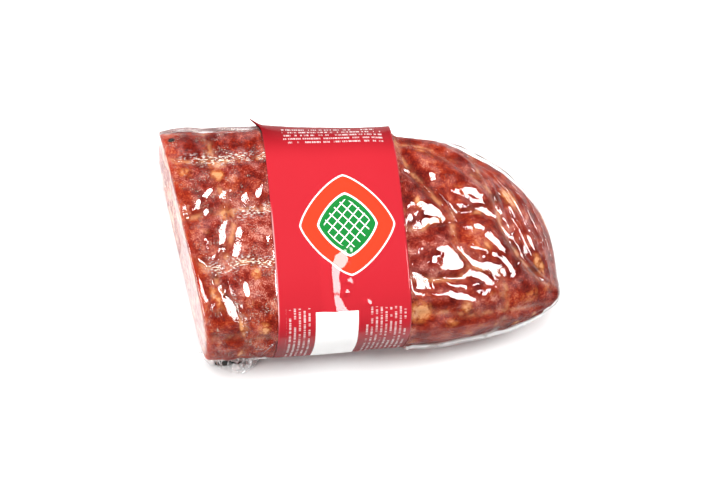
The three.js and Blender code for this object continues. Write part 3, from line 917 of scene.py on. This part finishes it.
def meat_material():
    f = Finish("salami_meat")
    at = f.millimetres()
    warp = f.add("ShaderNodeTexNoise", {}, {"Vector": at, "Scale": 0.35, "Detail": 2.0}).outputs["Color"]
    warped = f.add("ShaderNodeVectorMath", {"operation": "MULTIPLY_ADD"}, [warp, (2.6, 2.6, 2.6), at]).outputs[0]
    broad = f.noise(at, 14, 3)
    middle = f.noise(at, 3.2, 3, 0.5)
    fine = f.noise(at, 0.6, 2, 0.7)
    chunk = split(f, f.cells(warped, 1.9)[1])[0]
    strand = f.field("strand")
    right = f.field("from_cut").ramp(108, 120)
    # Two terms of the grain are painted shade: it gets a little darker from the middle towards the right, and darker
    # beside the strands on the right part, where the furrows' flanks fall into shade.
    grain = ((middle - 0.5) * 0.95 + (f.noise(at, 8, 2) - 0.5) * 1.4 + (fine - 0.5) * 2.1 + chunk * 0.1
             + f.field("paler") + f.field("from_cut").ramp(70, 135, 0.43, 0.41) + f.field("from_cut").ramp(12, 4) * 0.1
             - f.field("low").ramp(0.18, 0.24) * 0.12 - strand.ramp(8.0, 3.5) * strand.ramp(0.8, 2.8) * right * 0.08)
    brown = f.add("ShaderNodeValToRGB", {"stops": BROWN_MEAT}, [grain]).outputs[0]
    orange = f.add("ShaderNodeValToRGB", {"stops": ORANGE_MEAT}, [grain]).outputs[0]
    low = f.field("low").ramp(0.1, 0.24)
    rim = f.field("from_cut").ramp(13, 3)
    warmth = (broad.ramp(0.4, 0.62) * 0.6 + low * 0.45 + rim * 0.8 * broad.ramp(0.3, 0.5)
              + f.field("warmer")).smaller(1.0).larger(0.0)
    colour = f.mix_colour(warmth, brown, orange)
    fat = f.field("fat") * f.noise(at, 2.4, 3).ramp(0.3, 0.6, 0.45, 1.2)
    colour = f.mix_colour(fat.ramp(0.12, 0.7) * 0.85, colour, f.mix_colour(fat.ramp(0.5, 0.9), FAT, FAT_PALE))
    furrow = f.field("furrow").ramp(0.35, 1.0) * f.noise(at, 5, 3).ramp(0.35, 0.6)
    colour = f.mix_colour(furrow * 0.45, colour, FURROW)
    core = strand.ramp(2.0, 0.0) * f.noise(at, 6, 2).ramp(0.46, 0.6) * (1 - low * 0.7)
    colour = f.mix_colour(core * 0.45, colour, FAT_PALE)
    edge = f.field("from_cut").ramp(3.4, 1.6) * (1 - f.field("cut_face"))
    colour = f.mix_colour(edge * f.noise(at, 5, 2).ramp(0.35, 0.6) * 0.6, colour, RIM)
    colour = f.mix_colour(f.field("cut_face"), colour, cut_face_colour(f, at, warped))
    colour = f.mix_colour(f.field("dark_spot").ramp(2.2, 1.2), colour, SPOT)
    shader = f.add("ShaderNodeBsdfPrincipled", {}, {
        "Base Color": colour, "Roughness": 0.6, "Specular IOR Level": 0.1,
        "Normal": f.bump(middle * 0.4 + fine * 0.25, 0.5, 0.5)})
    return f.surface(shader.outputs[0])


def cut_face_colour(f, at, warped):
    """The cut shows coarse lean meat with pieces of pale fat between."""
    chunk_colour = f.cells(warped, 4.2)[1]
    pick = split(f, chunk_colour)
    edge = f.cells(warped, 4.2, "DISTANCE_TO_EDGE")[0]
    bits = split(f, f.cells(warped, 1.8)[1])[1].ramp(0.78, 0.82)
    lean = f.mix_colour(pick[1].ramp(0, 1), rgb(112, 24, 20), rgb(150, 46, 34))
    lean = f.mix_colour(f.noise(at, 0.9, 3).ramp(0.45, 0.7) * 0.4, lean, rgb(180, 96, 78))
    colour = f.mix_colour((pick[0].ramp(0.64, 0.68) + bits).smaller(1.0), lean, rgb(216, 166, 136))
    return f.mix_colour(edge.ramp(0.08, 0.0) * 0.35, colour, rgb(100, 22, 16))


CLEAR_WHITE = (0.95, 0.95, 0.96, 1.0)
GLINT_WHITE = (1.0, 0.86, 0.64, 1.0)
CUT_WHITE = (0.94, 0.92, 1.0, 1.0)
FOLD_WHITE = (1.0, 1.0, 1.0, 1.0)
FOLD_SHADE = (0.06, 0.07, 0.07, 1.0)
CLEAR_EDGE = (0.33, 0.21, 0.2, 1.0)


def film_shader(f, normal, haze, mist=0.0, rim=0.0, rim_power=5.0, straight_on=0.075, edge_on=0.35, tight=0.0, shade=1.0, from_slope=0.4,
                edge_colour=CLEAR_EDGE, white=CLEAR_WHITE):
    """Clear film: a mirror as strong as the angle makes it, with some white haze, over what lies behind it. Where it
    is seen edge-on it is darker, and where it clings tight it mirrors less."""
    slope = Number(f, f.add("ShaderNodeLayerWeight", {}, {"Blend": 0.5, "Normal": normal}).outputs["Facing"])
    gloss = (straight_on + (edge_on - straight_on) * slope ** 5.0) * (1.0 - tight)
    haze = haze * (slope ** 2.5 + 0.004) + rim * slope ** rim_power + mist
    clear = f.add("ShaderNodeBsdfTransparent", {}, {"Color": (1, 1, 1, 1)})
    sheen = f.add("ShaderNodeBsdfPrincipled", {}, {
        "Base Color": f.mix_colour(slope.ramp(from_slope, from_slope + 0.35) * shade, white, edge_colour),
        "Metallic": gloss / (gloss + haze), "Roughness": 0.025, "Normal": normal})
    both = f.add("ShaderNodeMixShader", {}, [(gloss + haze).smaller(1.0), clear.outputs[0], sheen.outputs[0]])
    return f.surface(both.outputs[0])


def film_material():
    f = Finish("clear_film")
    at = f.millimetres()
    squeeze = f.field("squeeze")
    furrow = f.field("furrow")
    x, s, _ = split(f, f.uv())
    left = x < 0.0
    crinkle = f.noise(at, 0.8, 1) * 0.02
    wave = f.noise(at, 5.0, 1) * 0.06
    fold = f.field("crease").ramp(1.3, 0.0) * 0.3
    glitter = f.noise(at, 0.9, 2) * 0.2 * furrow.ramp(0.5, 1.0) * squeeze.ramp(0.1, 0.9, 0.25, 1.0)
    speckle = f.noise(at, 0.7, 1) * f.noise(at, 10, 2).ramp(0.46, 0.62) * (0.045 + 0.045 * left)
    height = (crinkle + wave) * (1 - f.field("cut_face") * 0.6) + fold + glitter + speckle
    _, y, z = split(f, at)
    along = f.add("ShaderNodeCombineXYZ", {}, [x * 0.4, s, 0.0]).outputs[0]
    # Painted glints: white specks of haze along the crinkle lines stand in for the light that the crinkles catch.
    crinkle_glints = f.field("crinkle_glints") * f.noise(along, 0.7, 2).ramp(0.52, 0.6) * f.noise(at, 5, 2).ramp(0.35, 0.5)
    streak = f.noise(f.add("ShaderNodeCombineXYZ", {}, [x * 0.12, s, 0.0]).outputs[0], 2.2, 2).ramp(0.5, 0.62)
    streak = streak * f.field("side").ramp(0.18, 0.235)
    # Painted highlights: white haze along the stretched edges stands in for the light they catch.
    hem_highlight = f.field("hem_highlight") * f.noise(at, 9, 2).ramp(0.3, 0.55, 0.35, 1.0)
    lines = f.noise(f.add("ShaderNodeCombineXYZ", {}, [0.0, y * 0.04, z]).outputs[0], 1.6, 2).ramp(0.45, 0.65)
    # On the cut face the white haze is partly the film's milkiness and partly a painted reflection of the bright
    # surroundings, which the film mirrors there at a grazing angle.
    haze = (0.03 + f.field("cut_face") * (0.19 + 0.36 * lines) + hem_highlight * 1.6 + streak * (0.25 - 0.18 * left))
    # Painted glints: small white specks of haze, most of them on the left part.
    glint_specks = f.noise(at, 0.6, 2).ramp(0.55, 0.66) * f.noise(at, 7, 3).ramp(0.47, 0.62)
    veil = f.noise(at, 8, 3).ramp(0.46, 0.68) * 0.04
    mist = veil + glint_specks * (0.08 + 0.25 * left) + crinkle_glints + 0.8 * hem_highlight
    white = f.mix_colour(f.field("cut_face"), f.mix_colour(crinkle_glints.larger(glint_specks), CLEAR_WHITE, GLINT_WHITE), CUT_WHITE)
    return film_shader(f, f.bump(height, 1.0), haze, mist, f.field("standing") * (18.0 - 8.0 * left), 11.0 - 6.0 * left, white=white,
                       tight=(f.field("side").ramp(0.13, 0.22) * (0.75 + 0.13 * left)).larger(s.ramp(24, 44) * 0.8),
                       from_slope=0.4 - f.field("standing") * left * 0.5,
                       shade=1.0 - f.field("cut_face").larger(hem_highlight).larger(crinkle_glints).larger(glint_specks))


def fold_material():
    """Loose crumpled film: white haze, strongest on the ridges, that is partly its milkiness and partly painted
    highlights, and dark hollows of painted shade.
    """
    f = Finish("loose_film")
    at = f.millimetres()
    outward = f.field("outward")
    crumple = f.noise(at, 4.6, 1, 0.5, 1.0)
    # White haze over the sheet, strongest along the ridges, is partly the film's milkiness and partly painted
    # highlights; the hollows are painted dark as shade.
    ridge_highlight = abs(crumple - 0.5).ramp(0.06, 0.03)
    hollow_shade = (f.field("hollow_shade") - abs(crumple - 0.5) * 1.5).ramp(0.2, 0.3) * (1 - ridge_highlight)
    white = (0.65 + 0.35 * ridge_highlight) * f.noise(at, 7, 2).ramp(0.3, 0.42) * outward.ramp(1.0, 0.8)
    return film_shader(f, f.bump(crumple * 0.6, 1.0), 0.03, white.larger(hollow_shade * 0.9), straight_on=0.02,
                       edge_on=0.2, shade=hollow_shade, from_slope=-0.4, edge_colour=FOLD_SHADE, white=FOLD_WHITE)


LABEL_RED = rgb(176, 36, 46)
LABEL_PAINTED_SHADE = rgb(118, 12, 20)
PLAQUE = rgb(200, 58, 34)
GREEN = rgb(26, 118, 50)
WHITE = rgb(240, 239, 238)
EMBLEM = (-11.5, -2.0)


def band_material():
    f = Finish("printed_band")
    x, s, _ = split(f, f.uv())
    # Painted shade: the band's red is darkened where it turns away from the light over the far and near sides, and its
    # coat is thinner there.
    turned = s.ramp(34, 62).larger(s.ramp(-50, -76))
    colour = f.mix_colour(turned, LABEL_RED, LABEL_PAINTED_SHADE)

    def box(left, right, low, high):
        return (x > left) * (x < right) * (s > low) * (s < high)

    def lozenge(size):
        return (abs(x - EMBLEM[0]) * 1.1 / size) ** 1.35 + (abs(s - EMBLEM[1]) / size) ** 1.35 < 1.0

    def lines(across, along, pitch, share, seed):
        """Lines of small print that says nothing: broken strokes in rows."""
        row = (across / pitch).math("FLOOR")
        place_ = f.add("ShaderNodeCombineXYZ", {}, [along, row * 7.3 + seed, 0.0]).outputs[0]
        words = f.noise(place_, 2.6, 0.0) > 0.4
        letters = f.noise(place_, 0.45, 0.0) > 0.46
        return ((across / pitch).math("FRACT") < share) * words * letters * 0.5

    colour = f.mix_colour(lozenge(27.6), colour, WHITE)
    colour = f.mix_colour(lozenge(26.6), colour, PLAQUE)
    colour = f.mix_colour(lozenge(17.4), colour, WHITE)
    colour = f.mix_colour(lozenge(16.2), colour, GREEN)
    u, v = x * 1.1 + s, x * 1.1 - s
    lattice = ((u / 6.2).math("FRACT") < 0.14).larger((v / 6.2).math("FRACT") < 0.14)
    colour = f.mix_colour(lattice * lozenge(13.6), colour, WHITE)
    colour = f.mix_colour(lines(x, s, 2.5, 0.42, 3) * box(-46.5, -34, -90, -45), colour, WHITE)
    colour = f.mix_colour(lines(x, s, 2.5, 0.42, 5) * box(-5, 17, -90, -46), colour, WHITE)
    colour = f.mix_colour(lines(s, x, 2.7, 0.45, 9) * box(-40, 13, 45, 58), colour, WHITE)
    colour = f.mix_colour(box(-31.2, -9, -96, -47.5), colour, WHITE)
    colour = f.mix_colour(x.ramp(-49.6, -50.1) * s.ramp(-58, -46) * s.ramp(12, 0) * 0.25, colour, WHITE)
    relief = f.bump(f.noise(f.millimetres(), 9, 2), 0.15)
    shader = f.add("ShaderNodeBsdfPrincipled", {}, {
        "Base Color": colour, "Roughness": 0.5, "Specular IOR Level": 0.0, "Coat Weight": 1.0 - 0.7 * turned,
        "Coat Roughness": 0.06, "Coat IOR": 1.5, "Normal": relief, "Coat Normal": relief})
    return f.surface(shader.outputs[0])


def edge_material():
    f = Finish("band_edge")
    shader = f.add("ShaderNodeBsdfPrincipled", {}, {
        "Base Color": f.mix_colour(f.noise(f.millimetres(), 3, 2).ramp(0.3, 0.7) * 0.3, WHITE, rgb(240, 170, 170)),
        "Roughness": 0.5})
    return f.surface(shader.outputs[0])


def floor_material():
    f = Finish("pale_floor")
    shader = f.add("ShaderNodeBsdfPrincipled", {}, {"Base Color": (0.92, 0.92, 0.92, 1.0), "Roughness": 0.9,
                                                   "Specular IOR Level": 0.1})
    return f.surface(shader.outputs[0])


def put_on(piece, *materials):
    piece.data.materials.clear()
    for material in materials:
        piece.data.materials.append(material)


# The camera at the photo's angle

def camera_back():
    """The direction from the salami to the camera."""
    turn, tilt = math.radians(CAMERA_TURN), math.radians(CAMERA_TILT)
    return Vector((-math.sin(turn), -math.sin(tilt) * math.cos(turn), math.cos(tilt) * math.cos(turn))).normalized()


def make_camera():
    back = camera_back()
    roll = math.radians(CAMERA_ROLL)
    up = Vector((0, 1, 0))
    up = (up - back * up.dot(back)).normalized()
    right = up.cross(back)
    right_rolled = right * math.cos(roll) + up * math.sin(roll)
    up_rolled = up * math.cos(roll) - right * math.sin(roll)
    target = Vector(to_row([0, 0, TARGET_Z]).tolist())
    camera = bpy.data.objects.new("camera", bpy.data.cameras.new("camera"))
    bpy.context.scene.collection.objects.link(camera)
    turned = Matrix((right_rolled, up_rolled, back)).transposed().to_4x4()
    camera.matrix_world = Matrix.Translation(target + back * CAMERA_DISTANCE * MM) @ turned
    camera.data.sensor_width = SENSOR
    camera.data.lens = SENSOR * CAMERA_DISTANCE * PIXELS_PER_MM / IMAGE_WIDTH
    camera.data.shift_y = -(IMAGE_HEIGHT / 2 - TARGET_PIXEL_Y) / IMAGE_WIDTH
    camera.data.clip_start = 0.05
    bpy.context.scene.camera = camera


def add_light(name, direction, distance, size, watts, colour=(1, 1, 1)):
    light = bpy.data.lights.new(name, "AREA")
    light.shape = "RECTANGLE"
    light.size, light.size_y = size
    light.energy = watts
    light.color = colour
    piece = bpy.data.objects.new(name, light)
    bpy.context.scene.collection.objects.link(piece)
    place_ = Vector(direction).normalized() * distance
    piece.location = place_
    piece.rotation_euler = place_.to_track_quat("Z", "Y").to_euler()
    return piece


def light_up(tree):
    """White walls at the horizon, and a dim ceiling."""
    direction = tree.nodes.new("ShaderNodeTexCoord")
    height = tree.nodes.new("ShaderNodeSeparateXYZ")
    walls = tree.nodes.new("ShaderNodeMapRange")
    tree.links.new(direction.outputs["Generated"], height.inputs[0])
    tree.links.new(height.outputs["Z"], walls.inputs["Value"])
    walls.interpolation_type = "SMOOTHSTEP"
    walls.inputs["From Min"].default_value = 0.08
    walls.inputs["From Max"].default_value = 0.4
    walls.inputs["To Min"].default_value = 0.4
    walls.inputs["To Max"].default_value = 0.03
    tree.links.new(walls.outputs["Result"], tree.nodes["Background"].inputs["Strength"])
    tree.nodes["Background"].inputs["Color"].default_value = (1, 1, 1, 1)


def make_stage():
    deselect_all()
    bpy.ops.mesh.primitive_plane_add(size=6, location=(0, 0, -0.0002))
    floor = bpy.context.object
    floor.name = "floor"
    put_on(floor, floor_material())
    floor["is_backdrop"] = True
    world = bpy.data.worlds.new("studio")
    bpy.context.scene.world = world
    world.use_nodes = True
    light_up(world.node_tree)
    add_light("key", KEY_DIRECTION, KEY_DISTANCE * MM, (0.42, 0.36), 8.5)
    add_light("left", (-0.9, -0.2, 0.45), 1.5, (0.9, 0.7), 17)
    overhead = add_light("overhead", (-0.25, 0.42, 1), 1.35, (1.6, 1.6), 33)
    overhead.visible_glossy = False
    bpy.context.scene.view_settings.view_transform = "Standard"


def finish_piece(piece, slot, *nodes):
    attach(piece, "root")
    if nodes:
        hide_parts(*nodes)


make_camera()
make_stage()
meat = make_meat()
put_on(meat, meat_material())
finish_piece(meat, "meat", "sealed_salami")
film = make_film()
put_on(film, film_material())
finish_piece(film, "film", "sealed_salami")
tail = make_fold("film_tail", TAIL_ROOT, TAIL_EDGE, 3.0, 2.4, 40, TAIL_SHADE_SPOTS)
ear = make_fold("film_ear", EAR_ROOT, EAR_EDGE, 28.0, 1.2, 50)
for fold, finish in ((tail, fold_material()), (ear, film_material())):
    put_on(fold, finish)
    finish_piece(fold, "film", "sealed_salami")
label = make_label()
put_on(label, band_material(), edge_material())
finish_piece(label, "label", "label_band")

visual_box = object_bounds()
{"cad": [list(corner) for corner in cad_box], "visual": [list(corner) for corner in visual_box]}
